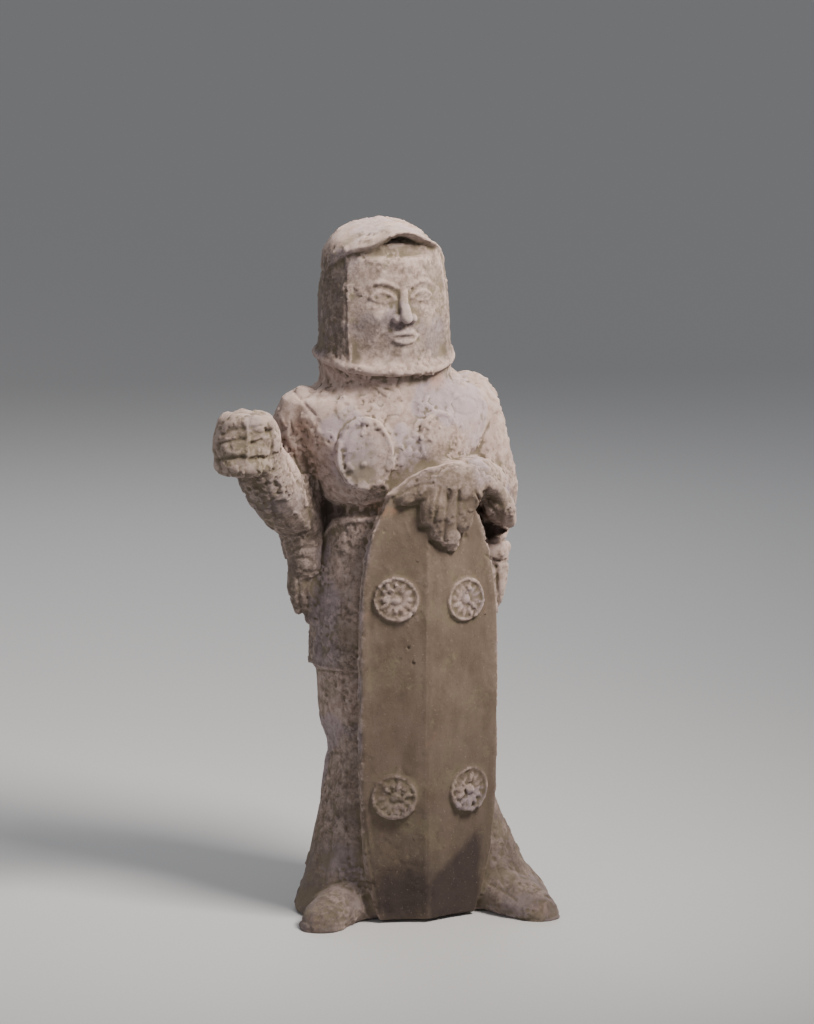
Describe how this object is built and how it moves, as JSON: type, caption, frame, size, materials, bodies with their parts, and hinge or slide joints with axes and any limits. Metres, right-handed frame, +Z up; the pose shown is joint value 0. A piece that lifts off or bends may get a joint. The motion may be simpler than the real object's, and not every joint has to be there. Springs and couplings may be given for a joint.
{
  "type": "pottery warrior figurine",
  "caption": "Standing pottery warrior in helmet and armour, one fist raised, leaning a hand on a long shield with rosette bosses.",
  "frame": {"origin": "centre of the bounding box's underside, on the surface that the figurine stands on", "axes": "+Z up, -Y the way the warrior and the shield face, -X the side of the raised fist"},
  "size_m": [0.2112, 0.105, 0.4016],
  "materials": {
    "fired_clay": "unglazed earthenware with worn pale slip, soil and dark stains"
  },
  "bodies": {
    "root": {"warrior_figurine": "fired_clay"}
  },
  "joints": []
}
